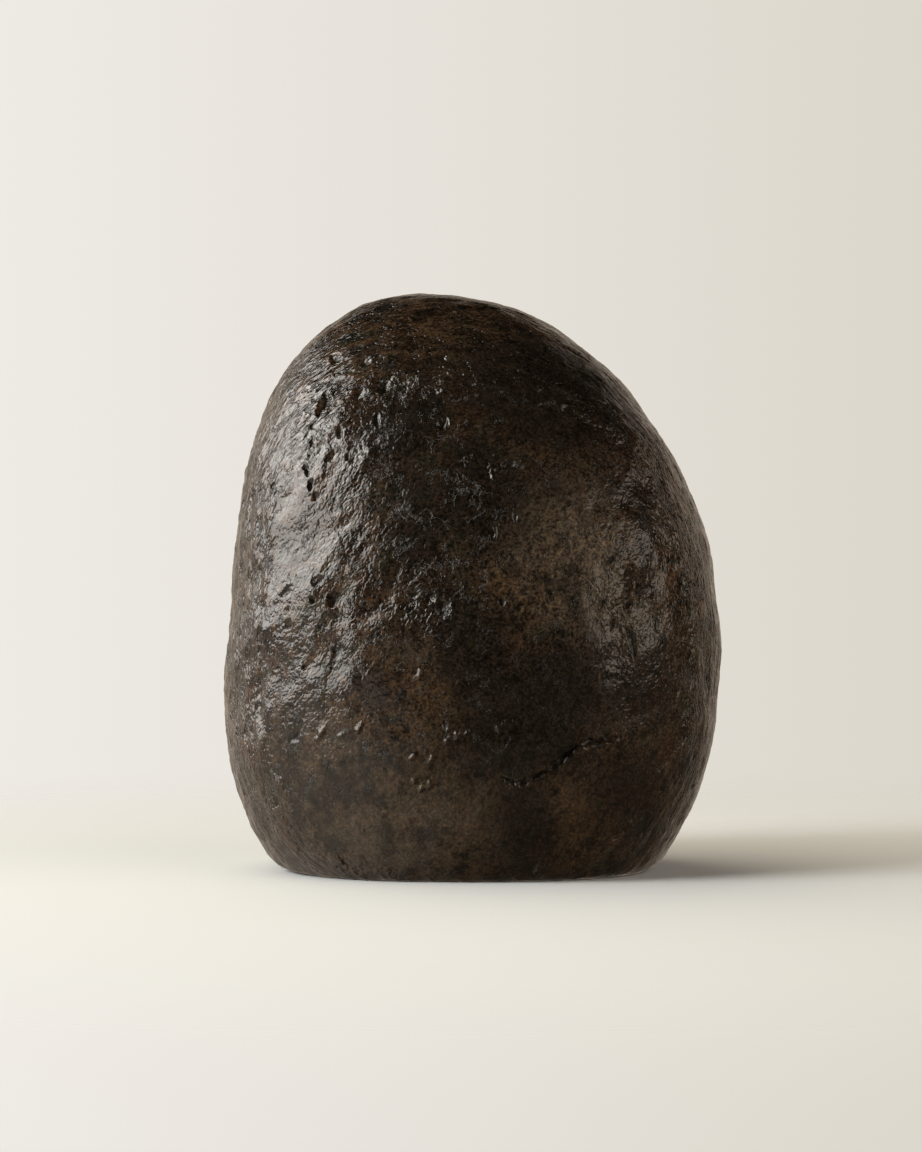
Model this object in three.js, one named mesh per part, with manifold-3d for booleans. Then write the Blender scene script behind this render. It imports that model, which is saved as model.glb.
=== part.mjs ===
// Pillow basalt: one pillow lobe of lava, standing on the flat face that it was cut off on.
// It is one natural solid. Units are millimetres, +Z is up, and the origin is on the base plane,
// under the middle of the stone. The front looks along -Y.

import * as THREE from 'three';
import { mergeVertices } from 'three/addons/utils/BufferGeometryUtils.js';
import Module from 'manifold-3d';

// ---- Driving dimensions -------------------------------------------------------------------

const HEIGHT = 300;
const CROWN = { x: -27, y: -2 };
const SECTION_POWER = 2.3;
const CORE = new THREE.Vector3(-3, 2, 135);

// How far the stone reaches from the upright axis at a few heights: [height, reach].
const LEFT_REACH = [
  [0, 97], [9, 106.5], [25, 117], [45, 124], [66, 128.6], [97, 128.8], [140, 126],
  [185, 122.2], [213, 117.2], [244, 106.2], [265, 92.8], [286, 70.2],
];
const RIGHT_REACH = [
  [0, 93], [10, 101.5], [35, 115.8], [66, 125.5], [90, 128.2], [118, 128.7], [160, 125],
  [198, 113.3], [229, 96.3], [261, 70.7], [286, 36],
];
const FRONT_REACH = [
  [0, 88], [12, 97], [40, 107], [85, 111], [130, 109], [175, 101], [215, 87], [250, 67], [280, 42],
];
const BACK_REACH = [
  [0, 86], [12, 95], [45, 106], [95, 111], [140, 109], [185, 101], [225, 86], [257, 66], [284, 38],
];

// The skin is a net of directions from the core: each icosahedron edge is split this many times.
const SKIN_SPLITS = 15;
const BELOW_BASE = 30;
const SEARCH_REACH = 320;
const SEARCH_STEPS = 40;

// Long, shallow undulations of a lobe that swelled as it cooled:
// each wave has a length, a height, a heading on the compass, a slope and a start.
const SWELLS = [
  { length: 118, height: 0.5, heading: 20, slope: 35, start: 0.4 },
  { length: 84, height: 0.5, heading: 105, slope: -20, start: 2.1 },
  { length: 63, height: 0.4, heading: 160, slope: 50, start: 4.0 },
  { length: 47, height: 0.4, heading: 60, slope: -60, start: 1.2 },
];

// Places are [azimuth, elevation] in degrees seen from the core: azimuth 0 is the front and
// grows towards +X. A turn is in degrees from level, rising to the right.

// Wide, shallow hollows and low bosses, as bends of the skin itself. Height is negative inwards.
const BENDS = [
  { at: [-36, 52], length: 26, width: 17, height: -2.2, turn: 60 },
  { at: [-31, 47], length: 16, width: 11, height: -1.6, turn: 70 },
  { at: [-33, 3], length: 20, width: 12, height: -1.4, turn: 80 },
  { at: [-34, -9], length: 26, width: 14, height: -1.6, turn: 88 },
  { at: [-22, 3], length: 30, width: 20, height: -1.2, turn: 50 },
  { at: [-6, 1], length: 32, width: 24, height: -1.5, turn: 65 },
  { at: [43, 5], length: 18, width: 14, height: -2.2, turn: 80 },
  { at: [37, -9], length: 34, width: 14, height: -1.5, turn: 75 },
  { at: [18, -39], length: 46, width: 16, height: -1.8, turn: 22 },
  { at: [14, -30], length: 52, width: 18, height: 1.6, turn: 14 },
  { at: [-52, -20], length: 44, width: 12, height: 1.2, turn: 85 },
  { at: [12, 36], length: 18, width: 12, height: -1.4, turn: 10 },
];

// Open vesicles: burst gas bubbles, cut as ellipsoids.
const VESICLES = [
  { at: [-49.5, 47], length: 13, width: 5, depth: 3.6, turn: 105 },
  { at: [-47.5, 33.5], length: 8, width: 3.2, depth: 2.6, turn: 100 },
  { at: [-44, 29.5], length: 11, width: 4.6, depth: 3.4, turn: 95 },
  { at: [-58.5, 28.5], length: 5, width: 3.4, depth: 2.4, turn: 90 },
  { at: [-36.5, 37.5], length: 5, width: 3.4, depth: 2.2, turn: 90 },
  { at: [-40.5, 42.5], length: 6, width: 3.2, depth: 2.2, turn: 100 },
  { at: [-55, 57.5], length: 8, width: 5, depth: 2.6, turn: 20 },
  { at: [-43.5, 59], length: 6, width: 5, depth: 2.4, turn: 0 },
  { at: [-10, 48.5], length: 7, width: 4, depth: 2.2, turn: 35 },
  { at: [-40, 2.5], length: 5, width: 4, depth: 4, turn: 90 },
  { at: [-39.5, 7.5], length: 8, width: 4.4, depth: 2.4, turn: 20 },
  { at: [-42, -13], length: 6, width: 4.4, depth: 2.4, turn: 60 },
  { at: [-27, -26], length: 9, width: 3, depth: 2.2, turn: 45 },
  { at: [-34.5, -27], length: 9, width: 2.6, depth: 2, turn: 55 },
  { at: [-3.5, -28], length: 8, width: 7, depth: 2.4, turn: 0 },
  { at: [-8, -25.5], length: 6, width: 5, depth: 2, turn: 0 },
  { at: [9, 2.5], length: 4.6, width: 3.6, depth: 2.4, turn: 0 },
  { at: [44, 4], length: 10, width: 6, depth: 3.4, turn: 75 },
  { at: [12.5, 38.5], length: 8, width: 4.4, depth: 2.6, turn: 10 },
];

// Proud wrinkles of the quenched skin: long, thin ellipsoids that stand half out of it.
const WRINKLES = [
  { at: [46, 8], length: 26, width: 3, depth: 1.5, turn: 68 },
  { at: [40, 2.5], length: 12, width: 2.6, depth: 1.3, turn: 20 },
  { at: [8.5, 35], length: 19, width: 2.8, depth: 1.3, turn: 102 },
  { at: [12, 39.5], length: 14, width: 2.6, depth: 1.2, turn: -12 },
  { at: [13.5, 24.5], length: 11, width: 2.2, depth: 1.1, turn: 92 },
  { at: [8, 20.5], length: 14, width: 2, depth: 1, turn: 88 },
  { at: [-58, -19.5], length: 14, width: 3, depth: 1.3, turn: 88 },
  { at: [-10.5, -37], length: 10, width: 7, depth: 1.2, turn: 60 },
];

// The cooling crack across the lower right of the front, from its left end to its right end.
const CRACK_PATH = [[9.5, -36], [12, -37], [16, -36], [20.5, -33.5], [27.5, -29], [37, -26.5]];
const CRACK_WIDTH = 3.4;
const CRACK_DEPTH = 3.6;
const CRACK_OVERLAP = 1.25;

// The unseen sides carry the same kind of vesicles, laid out on an even spiral.
const SPIRAL_COUNT = 22;
const SPIRAL_FIRST_AZIMUTH = 68;
const SPIRAL_LAST_AZIMUTH = 284;
const SPIRAL_LOWEST = -38;
const SPIRAL_HIGHEST = 64;
const GOLDEN_RATIO = (1 + Math.sqrt(5)) / 2;

const LENS_SPLITS = 1;
const STONE_COLOUR = 0x2e2823;
const STONE_ROUGHNESS = 0.38;

// ---- The form -------------------------------------------------------------------------------

const toRadians = THREE.MathUtils.degToRad;

// Heights are read as square roots of the drop from the crown, so that the top closes roundly.
function dropFromCrown(height) {
  return Math.sqrt(Math.max(0, 1 - height / HEIGHT));
}

// A smooth curve through the stations of one side, from the crown down. Below the base it runs
// on straight, so that the flat cut leaves a clean edge.
function makeProfile(reaches, side, crown) {
  const stations = reaches.map(([height, reach]) => [dropFromCrown(height), side * reach]);
  stations.push([0, crown]);
  stations.sort((a, b) => a[0] - b[0]);
  const last = stations.length - 1;
  const slopes = stations.map((station, i) => {
    const before = stations[Math.max(0, i - 1)];
    const after = stations[Math.min(last, i + 1)];
    return (after[1] - before[1]) / (after[0] - before[0]);
  });
  return (height) => {
    const drop = dropFromCrown(height);
    if (drop > stations[last][0]) {
      return stations[last][1] + slopes[last] * (drop - stations[last][0]);
    }
    let i = 0;
    while (i < last - 1 && drop > stations[i + 1][0]) i += 1;
    const [start, from] = stations[i];
    const [end, to] = stations[i + 1];
    const span = end - start;
    const t = (drop - start) / span;
    const bend = t * t * (3 - 2 * t);
    const leave = t * (1 - t) * (1 - t);
    const arrive = t * t * (t - 1);
    return from + (to - from) * bend + span * (slopes[i] * leave + slopes[i + 1] * arrive);
  };
}

const leftProfile = makeProfile(LEFT_REACH, -1, CROWN.x);
const rightProfile = makeProfile(RIGHT_REACH, 1, CROWN.x);
const frontProfile = makeProfile(FRONT_REACH, -1, CROWN.y);
const backProfile = makeProfile(BACK_REACH, 1, CROWN.y);

// Each level section is a rounded box between the four profiles.
function isInside(point) {
  if (point.z >= HEIGHT) return false;
  const left = leftProfile(point.z);
  const right = rightProfile(point.z);
  const front = frontProfile(point.z);
  const back = backProfile(point.z);
  const across = Math.abs(2 * point.x - left - right) / (right - left);
  const deep = Math.abs(2 * point.y - front - back) / (back - front);
  return across ** SECTION_POWER + deep ** SECTION_POWER < 1;
}

function formRadius(direction) {
  const floor = direction.z < 0 ? (CORE.z + BELOW_BASE) / -direction.z : SEARCH_REACH;
  let near = 0;
  let far = Math.min(SEARCH_REACH, floor);
  const probe = new THREE.Vector3();
  for (let step = 0; step < SEARCH_STEPS; step += 1) {
    const middle = (near + far) / 2;
    probe.copy(direction).multiplyScalar(middle).add(CORE);
    if (isInside(probe)) near = middle;
    else far = middle;
  }
  return near;
}

function compassDirection(azimuth, elevation) {
  const level = Math.cos(toRadians(elevation));
  return new THREE.Vector3(
    Math.sin(toRadians(azimuth)) * level,
    -Math.cos(toRadians(azimuth)) * level,
    Math.sin(toRadians(elevation)),
  );
}

function surfacePoint([azimuth, elevation]) {
  const direction = compassDirection(azimuth, elevation);
  return direction.multiplyScalar(formRadius(direction)).add(CORE);
}

// Three axes at a place on the skin: along the turned feature, across it and out of the stone.
function skinFrame(at, turn) {
  const [azimuth, elevation] = at;
  const step = 1.5;
  const point = surfacePoint(at);
  const rightward = surfacePoint([azimuth + step, elevation]).sub(point);
  const upward = surfacePoint([azimuth, elevation + step]).sub(point);
  const out = new THREE.Vector3().crossVectors(rightward, upward).normalize();
  const level = rightward.addScaledVector(out, -rightward.dot(out)).normalize();
  const along = level.applyAxisAngle(out, toRadians(turn));
  const across = new THREE.Vector3().crossVectors(out, along);
  return { point, along, across, out };
}

const swellWaves = SWELLS.map(({ length, height, heading, slope, start }) => ({
  wave: compassDirection(heading, slope).multiplyScalar((2 * Math.PI) / length),
  height,
  start,
}));

const bendFrames = BENDS.map((bend) => ({ ...bend, ...skinFrame(bend.at, bend.turn) }));

// How far the skin lies outside the plain form at a point of that form.
function reliefAt(point) {
  let relief = 0;
  for (const { wave, height, start } of swellWaves) {
    relief += height * Math.sin(wave.dot(point) + start);
  }
  for (const bend of bendFrames) {
    const offset = point.clone().sub(bend.point);
    const along = (2 * offset.dot(bend.along)) / bend.length;
    const across = (2 * offset.dot(bend.across)) / bend.width;
    relief += bend.height * Math.exp(-(along * along + across * across));
  }
  return relief;
}

// ---- Solids ---------------------------------------------------------------------------------

const manifold = await Module();
manifold.setup();

function toSolid(geometry) {
  const bare = geometry.clone();
  bare.deleteAttribute('normal');
  bare.deleteAttribute('uv');
  const merged = mergeVertices(bare, 1e-4);
  const mesh = new manifold.Mesh({
    numProp: 3,
    vertProperties: new Float32Array(merged.attributes.position.array),
    triVerts: new Uint32Array(merged.index.array),
  });
  return new manifold.Manifold(mesh);
}

function toGeometry(solid) {
  const mesh = solid.getMesh();
  const geometry = new THREE.BufferGeometry();
  geometry.setAttribute('position', new THREE.BufferAttribute(mesh.vertProperties, 3));
  geometry.setIndex(new THREE.BufferAttribute(mesh.triVerts, 1));
  geometry.computeVertexNormals();
  return geometry;
}

// The skin before anything is cut: a fine icosahedron pushed out to the form and its relief.
function makeSkin() {
  const skin = new THREE.IcosahedronGeometry(1, SKIN_SPLITS);
  const positions = skin.attributes.position;
  const direction = new THREE.Vector3();
  for (let i = 0; i < positions.count; i += 1) {
    direction.fromBufferAttribute(positions, i).normalize();
    const radius = formRadius(direction);
    const point = direction.clone().multiplyScalar(radius).add(CORE);
    point.addScaledVector(direction, reliefAt(point));
    positions.setXYZ(i, point.x, point.y, point.z);
  }
  return toSolid(skin);
}

// An ellipsoid centred on the skin, for a hollow to cut out or a wrinkle to add.
function makeLens({ at, length, width, depth, turn }) {
  const { point, along, across, out } = skinFrame(at, turn);
  point.addScaledVector(out, reliefAt(point));
  const placing = new THREE.Matrix4().makeBasis(along, across, out).setPosition(point);
  const lens = new THREE.IcosahedronGeometry(1, LENS_SPLITS);
  lens.scale(length / 2, width / 2, depth);
  lens.applyMatrix4(placing);
  return toSolid(lens);
}

// The crack is a chain of long lenses, one from each point of its path to the next.
function crackLenses() {
  return CRACK_PATH.slice(1).map((end, i) => {
    const start = CRACK_PATH[i];
    const middle = [(start[0] + end[0]) / 2, (start[1] + end[1]) / 2];
    const { along, across } = skinFrame(middle, 0);
    const run = surfacePoint(end).sub(surfacePoint(start));
    const turn = THREE.MathUtils.radToDeg(Math.atan2(run.dot(across), run.dot(along)));
    const length = run.length() * CRACK_OVERLAP;
    return { at: middle, length, width: CRACK_WIDTH, depth: CRACK_DEPTH, turn };
  });
}

function spiralVesicles() {
  return Array.from({ length: SPIRAL_COUNT }, (_, i) => {
    const share = (i + 0.5) / SPIRAL_COUNT;
    const round = (i * GOLDEN_RATIO) % 1;
    const azimuth = THREE.MathUtils.lerp(SPIRAL_FIRST_AZIMUTH, SPIRAL_LAST_AZIMUTH, round);
    const elevation = THREE.MathUtils.lerp(SPIRAL_LOWEST, SPIRAL_HIGHEST, share);
    const width = 3.6 + 1.6 * Math.sin(i * 2.4);
    const length = width * (1.5 + 0.7 * Math.sin(i * 1.7));
    return { at: [azimuth, elevation], length, width, depth: width * 0.6, turn: 90 + 30 * Math.sin(i) };
  });
}

function makeStoneSolid() {
  const hollows = [...VESICLES, ...crackLenses(), ...spiralVesicles()];
  let stone = makeSkin();
  for (const wrinkle of WRINKLES) stone = stone.add(makeLens(wrinkle));
  for (const hollow of hollows) stone = stone.subtract(makeLens(hollow));
  const ground = new THREE.BoxGeometry(2 * HEIGHT, 2 * HEIGHT, HEIGHT);
  ground.translate(0, 0, -HEIGHT / 2);
  return stone.subtract(toSolid(ground));
}

function makePillowLobe() {
  const material = new THREE.MeshStandardMaterial({
    color: STONE_COLOUR,
    roughness: STONE_ROUGHNESS,
    metalness: 0,
  });
  const lobe = new THREE.Mesh(toGeometry(makeStoneSolid()), material);
  lobe.name = 'pillow_lobe';
  return lobe;
}

const pillowBasalt = new THREE.Group();
pillowBasalt.add(makePillowLobe());

export default pillowBasalt;
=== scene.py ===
"""A pillow basalt: the fine wrinkled skin and waxed finish of the stone, on a plain studio stage.

The stone's form is worked out from the same sizes as its solid: level sections between four side
profiles, with shallow swells, bends, vesicles, wrinkles and one cooling crack. Those sizes are in
millimetres of the stone, and the frame's height sets how long such a millimetre is here. Places on
the skin are (azimuth, elevation) in degrees seen from the stone's core: azimuth 0 is the front,
which looks along -Y, and it grows towards +X. A turn is in degrees from level, rising to the right.
"""

import math

import bmesh
import bpy
import numpy as np
from bpy.props import FloatProperty, FloatVectorProperty, IntVectorProperty, PointerProperty
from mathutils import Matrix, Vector, noise


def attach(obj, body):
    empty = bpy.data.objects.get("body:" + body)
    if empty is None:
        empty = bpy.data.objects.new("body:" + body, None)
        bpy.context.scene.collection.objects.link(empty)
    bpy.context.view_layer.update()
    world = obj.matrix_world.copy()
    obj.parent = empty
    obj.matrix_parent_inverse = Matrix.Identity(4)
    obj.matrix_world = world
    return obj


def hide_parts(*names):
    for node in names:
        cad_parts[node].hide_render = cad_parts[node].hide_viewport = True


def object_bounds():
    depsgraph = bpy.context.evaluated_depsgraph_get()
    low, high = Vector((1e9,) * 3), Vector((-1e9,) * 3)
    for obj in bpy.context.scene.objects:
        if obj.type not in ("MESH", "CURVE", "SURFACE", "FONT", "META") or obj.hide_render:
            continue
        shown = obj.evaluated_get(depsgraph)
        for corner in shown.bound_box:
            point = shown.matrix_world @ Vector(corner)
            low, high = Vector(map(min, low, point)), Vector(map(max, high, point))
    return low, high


bl_info = {
    "name": "Pillow Basalt",
    "version": (1, 0, 0),
    "blender": (4, 5, 0),
    "location": "View3D > Sidebar > Basalt",
    "description": "Builds a free-standing pillow basalt and the stage it is shown on",
    "category": "Object",
}

STONE_NODE = "pillow_lobe"
FLOOR_COLLECTION = "Stage floor"

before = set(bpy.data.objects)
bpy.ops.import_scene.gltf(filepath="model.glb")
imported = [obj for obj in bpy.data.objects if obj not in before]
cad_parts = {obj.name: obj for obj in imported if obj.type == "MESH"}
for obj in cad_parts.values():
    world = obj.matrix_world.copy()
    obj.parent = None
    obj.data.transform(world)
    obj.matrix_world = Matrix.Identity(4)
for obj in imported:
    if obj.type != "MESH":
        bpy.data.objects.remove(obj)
CAD_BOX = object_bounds()

# ---- The stone's form, in its own millimetres ----

HEIGHT = 300.0
MILLIMETRE = (CAD_BOX[1].z - CAD_BOX[0].z) / HEIGHT
CROWN = (-27.0, -2.0)
SECTION_POWER = 2.3
CORE = np.array((-3.0, 2.0, 135.0))

# (height, reach) of each side from the upright axis.
LEFT_REACH = (
    (0, 97), (9, 106.5), (25, 117), (45, 124), (66, 128.6), (97, 128.8), (140, 126),
    (185, 122.2), (213, 117.2), (244, 106.2), (265, 92.8), (286, 70.2),
)
RIGHT_REACH = (
    (0, 93), (10, 101.5), (35, 115.8), (66, 125.5), (90, 128.2), (118, 128.7), (160, 125),
    (198, 113.3), (229, 96.3), (261, 70.7), (286, 36),
)
FRONT_REACH = (
    (0, 88), (12, 97), (40, 107), (85, 111), (130, 109),
    (175, 101), (215, 87), (250, 67), (280, 42),
)
BACK_REACH = (
    (0, 86), (12, 95), (45, 106), (95, 111), (140, 109),
    (185, 101), (225, 86), (257, 66), (284, 38),
)

# How the skin is searched for along a direction, down to a little below the base.
BELOW_BASE = 30.0
SEARCH_REACH = 320.0
SEARCH_STEPS = 30
FAR_AWAY = 1e6

# Too small to matter, this keeps a division from being one by nothing.
NOTHING = 1e-9

BASE_EDGE_ROUNDING = 5.0

# The rim is the skin that looks less than this share to the front or back. Its ripples are drawn
# out along it, and grow quickly from its edges.
RIM_SHARE = 0.7
RIM_STRETCH = 3.0
RIM_GROWTH = 3

# Degrees from a place to the points that give its axes, how far off its plane the skin still counts
# as near it, and the spread that keeps a feature off the far side.
AXES_STEP = 1.5
NEAR_SIDE = 60.0
OUT_OF_REACH = 100.0

# (length, height, heading, slope, start) of the long, shallow swells.
SWELLS = (
    (118, 0.5, 20, 35, 0.4),
    (84, 0.5, 105, -20, 2.1),
    (63, 0.4, 160, 50, 4.0),
    (47, 0.4, 60, -60, 1.2),
)

# (place, length, width, height, turn) of wide hollows and low bosses. Height is negative inwards.
BENDS = (
    ((-42, 45), 26, 12, 1.2, 70),
    ((-33, 3), 20, 12, -1.4, 80),
    ((-34, -9), 26, 14, -1.6, 88),
    ((-22, 3), 30, 20, -1.2, 50),
    ((-6, 1), 32, 24, -1.5, 65),
    ((43, 5), 18, 14, -2.2, 80),
    ((37, -9), 34, 14, -1.5, 75),
    ((18, -39), 46, 16, -1.8, 22),
    ((14, -30), 52, 18, 1.6, 14),
    ((-52, -20), 44, 12, 1.2, 85),
    ((12, 36), 18, 12, -1.4, 10),
)

# (place, length, width, depth, turn) of the open vesicles.
VESICLES = (
    ((-50, 47.5), 17, 5, 4.6, 100),
    ((-50.5, 43), 6, 2.6, 1.6, 80),
    ((-49, 39.5), 10, 2.8, 1.8, 100),
    ((-47.5, 36.5), 7, 3, 1.8, 95),
    ((-47.5, 33), 7, 4, 2.6, 110),
    ((-45, 29.5), 9, 4, 2.8, 80),
    ((-43, 27), 6, 3, 1.6, 60),
    ((-58.5, 28.5), 5, 3, 1.6, 60),
    ((-36.5, 37.5), 5, 3.2, 1.8, 90),
    ((-40.5, 42.5), 7, 3, 1.8, 100),
    ((-40, 52), 10, 4, 1.8, 80),
    ((-31, 47), 9, 3.6, 1.8, 100),
    ((-55, 57.5), 9, 6, 2.2, 20),
    ((-43.5, 59), 7, 6, 2, 0),
    ((-33, 55.5), 10, 9, 3.6, 60),
    ((-8.5, 48.5), 8, 6, 3.2, 45),
    ((-40, 2.5), 5, 3.6, 3, 70),
    ((-34.5, 3), 8, 5, 2.2, 60),
    ((-38.5, 7.5), 9, 4, 2, 40),
    ((-48.5, 4.5), 9, 3, 1.8, 40),
    ((-47.5, 0), 8, 2.6, 1.8, 75),
    ((-47, -3.5), 8, 3, 1.6, 60),
    ((-33, -9.5), 14, 6, 1.6, 80),
    ((-50, -13), 3.6, 2.4, 1.4, 45),
    ((-42, -13), 3.6, 2.6, 1.6, 60),
    ((-44, -27), 8, 3.4, 1.0, 25),
    ((-5.6, -26), 5, 3, 1.8, 70),
    ((9, 2.5), 4.2, 3.2, 2.2, 0),
    ((41.5, 5), 28, 7, 2.8, 78),
    ((40.5, -7), 18, 3.6, 1.6, 100),
    ((37, 12), 8, 3, 1.2, 40),
    ((48, -3), 9, 3, 1.2, 100),
    ((36, -3), 8, 3, 1.2, 60),
    ((13, 38), 9, 5, 2, 30),
    ((13.4, 24.4), 8, 2.6, 1.6, 85),
    ((-10, 3), 8, 6, 2, 30),
    ((-6, 0.5), 11, 8, 2.2, 60),
)

# (place, length, width, height, turn) of the proud wrinkles.
WRINKLES = (
    ((46, 7), 32, 3.6, 2.2, 72),
    ((48.5, 1), 12, 2.8, 1.2, 115),
    ((38.5, 2.5), 12, 2.6, 1.2, 20),
    ((8, 36), 18, 2.8, 1, 102),
    ((11.5, 40.5), 13, 2.6, 1, -12),
    ((8, 20.5), 13, 2, 0.8, 88),
    ((-58, -19.5), 16, 3.4, 1.4, 88),
    ((-26.8, -25.8), 10, 3.4, 1.5, 50),
    ((-36.5, -26.3), 10, 3.2, 1.4, 50),
    ((-31, -27), 7, 2.6, 1.1, 30),
    ((-11.8, -15), 8, 3.0, 1.4, 55),
    ((-13, -32), 8, 3.0, 1.4, 20),
    ((-8.6, -32.2), 8, 3.0, 1.4, 50),
    ((-13.3, -36.6), 6, 2.8, 1.7, 60),
    ((-11.4, -38), 7, 2.8, 1.8, 50),
    ((-9.2, -37.2), 7, 2.8, 1.8, 65),
    ((-4.6, -28.8), 8, 2.8, 1.7, 65),
    ((-2.6, -28), 9, 3.0, 2.0, 60),
    ((0.5, -27.4), 5, 2.6, 1.6, 60),
    ((8, -26.5), 6, 2.4, 1.6, 70),
    ((-30, 38), 22, 6, 1, 70),
    ((-43, 36), 20, 5, 0.8, 95),
)

CRACK_PATH = ((9.5, -36), (12, -37), (16, -36), (20.5, -33.5), (27.5, -29), (37, -26.5))
CRACK_WIDTH = 3.6
CRACK_DEPTH = 3.4
CRACK_OVERLAP = 1.25

# The vesicles of the unseen sides lie on an even spiral. Each (middle, swing, beat) wavers from one
# vesicle to the next. The length and the depth are shares of the width, and the turn is in degrees.
SPIRAL_COUNT = 22
SPIRAL_AZIMUTHS = (68, 284)
SPIRAL_ELEVATIONS = (-38, 64)
SPIRAL_WIDTH = (3.6, 1.6, 2.4)
SPIRAL_STRETCH = (1.5, 0.7, 1.7)
SPIRAL_TURN = (90, 30, 1)
SPIRAL_DEPTH = 0.6
GOLDEN_RATIO = (1 + math.sqrt(5)) / 2

# (size, octaves, seed) of each noise that shapes the skin, and how strongly it works. Fraying moves
# the features' edges about along three axes, one seed each, and tearing makes their depth uneven.
FRAYING = (6.0, 3)
FRAYING_SEEDS = (1, 2, 3)
FRAYING_REACH = 1.6
LUMPS = (24.0, 3, 4)
SIDE_LUMPS = 0.4
RIPPLES = (9.0, 3, 5)
RIPPLE_STRETCH = 1.8
SMOOTH_RIPPLES = 0.4
TEARING = (3.0, 2, 6)
TEARING_SHARE = 0.6
RIM_RIPPLES = (5.0, 3, 7)
SEED_STEP = 37.0
NOISE_INCREMENT = 0.9
NOISE_LACUNARITY = 2.1

# Shares of a feature's own sizes: the wrinkles' foot, height and crest, and the vesicles' walls and
# lips.
WRINKLE_FOOT = 1.3
WRINKLE_RISE = 0.8
WRINKLE_CREST = 1.5
WALL_DEPTH = 0.75
LIP_HEIGHT = 0.04
LIP_PLACE = 1.25
LIP_WIDTH = 0.3

# Each quad that a small feature or this margin round it touches is cut this often.
REFINED_MARGIN = 5
REFINED_CUTS = 2

# The six sides of the net lie side by side on the bake map, each with a margin round it.
CHART_COLUMNS = 3
CHART_ROWS = 2
CHART_MARGIN = 0.02
CHART_SPAN = 0.96

# (name, place, length, width, turn, strength) of the patches of weathering; one grey patch also
# holds painted light.
PATCHES = (
    ("dark", (35, 56), 120, 90, -30, 1.1),
    ("dark", (48, 30), 70, 50, 0, 0.6),
    ("dark", (24, 34), 60, 50, 0, 0.6),
    ("rust", (-21, 68), 130, 40, 0, 0.45),
    ("ochre", (10, 84), 110, 110, 0, 0.6),
    ("rust", (60, 40), 90, 70, -40, 0.6),
    ("grey", (27, 15), 100, 70, 80, 1.0),
    ("grey", (42, 2), 100, 50, 90, 0.5),
    ("grey", (15, 12), 60, 44, 80, 0.8),
    ("ochre", (11, 7), 34, 26, 0, 0.9),
    ("dark", (3, -13), 110, 50, 115, 1.0),
    ("red", (19, -18), 24, 22, 0, 0.9),
    ("ochre", (-6, -21), 100, 46, 100, 0.9),
    ("dark", (14, -43), 80, 40, 110, 0.7),
    ("dark", (42, -36), 80, 50, -10, 0.6),
    ("dark", (41, -15), 90, 60, 0, 0.65),
    ("dark", (15, -23), 100, 64, 40, 1.1),
    ("ochre", (28, -41), 22, 40, 20, 1.7),
    # This grey patch is partly the stone's grey-olive skin and partly painted light: it brightens
    # the downward-facing lower front in place of light bounced up from the floor.
    ("grey", (-20, -44), 150, 60, 0, 1.1),
    ("grey", (-43, -35), 90, 60, 60, 0.7),
    ("dark", (-7, 3), 80, 50, 60, 0.7),
    ("dark", (-14, 22), 90, 40, 95, 0.8),
    ("dark", (47, 14), 34, 20, 80, 0.8),
    ("dark", (4, 32), 80, 64, 90, 0.9),
    ("dark", (-22, 48), 80, 56, 60, 0.9),
    ("rust", (55, -2), 80, 40, 90, 0.5),
    ("ochre", (45, -36), 70, 40, 30, 0.5),
    ("rough", (-36, 21), 150, 56, 95, 1.0),
    ("rough", (-38, -8), 110, 60, 90, 0.9),
    ("rough", (-8, 3), 44, 34, 60, 1.5),
    ("rough", (43, 2), 120, 50, 88, 0.9),
    ("rough", (-28, 38), 70, 44, 60, 0.5),
    ("rough", (8, 32), 70, 40, 90, 0.4),
    ("rough", (180, 20), 200, 200, 0, 0.8),
    ("scored", (-76, 5), 330, 102, 90, 1.0),
    ("calm", (0, -48), 340, 110, 0, 1.0),
    ("calm", (22, 56), 130, 90, 0, 0.6),
)
PATCH_NAMES = ("dark", "rust", "ochre", "grey", "red", "rough", "scored", "calm")

# (grains per metre, detail, roughness, distortion) of each noise that the material reads.
NOISES = {
    "broad": (30, 5, 0.6, 0.5),
    "medium": (120, 4, 0.65, 0),
    "mottle": (300, 3, 0.65, 0),
    "flecks": (650, 2, 0.8, 0),
    "hue": (75, 5, 0.7, 0),
    "soot": (52, 5, 0.68, 0.3),
    "wear": (60, 4, 0.6, 0),
    "uneven": (60, 3, 0.55, 0),
    "streaks": (130, 3, 0.62, 0),
    "creases": (170, 4, 0.6, 0),
    "crease gaps": (102, 2, 0.55, 0),
    "wrinkles": (110, 3, 0.5, 0.5),
    "folds": (330, 1, 0.5, 0),
    "grain": (650, 1, 0.5, 0),
}

# (grains per metre, reach in metres) of the noise that pushes each set of positions about.
PUSHES = {
    "frayed": (260, 0.004),
    "jagged": (420, 0.002),
    "ring": (300, 0.0012),
    "folded": (300, 0.0016),
}
PUSH_DETAIL = 2.0
PUSH_ROUGHNESS = 0.6

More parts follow.
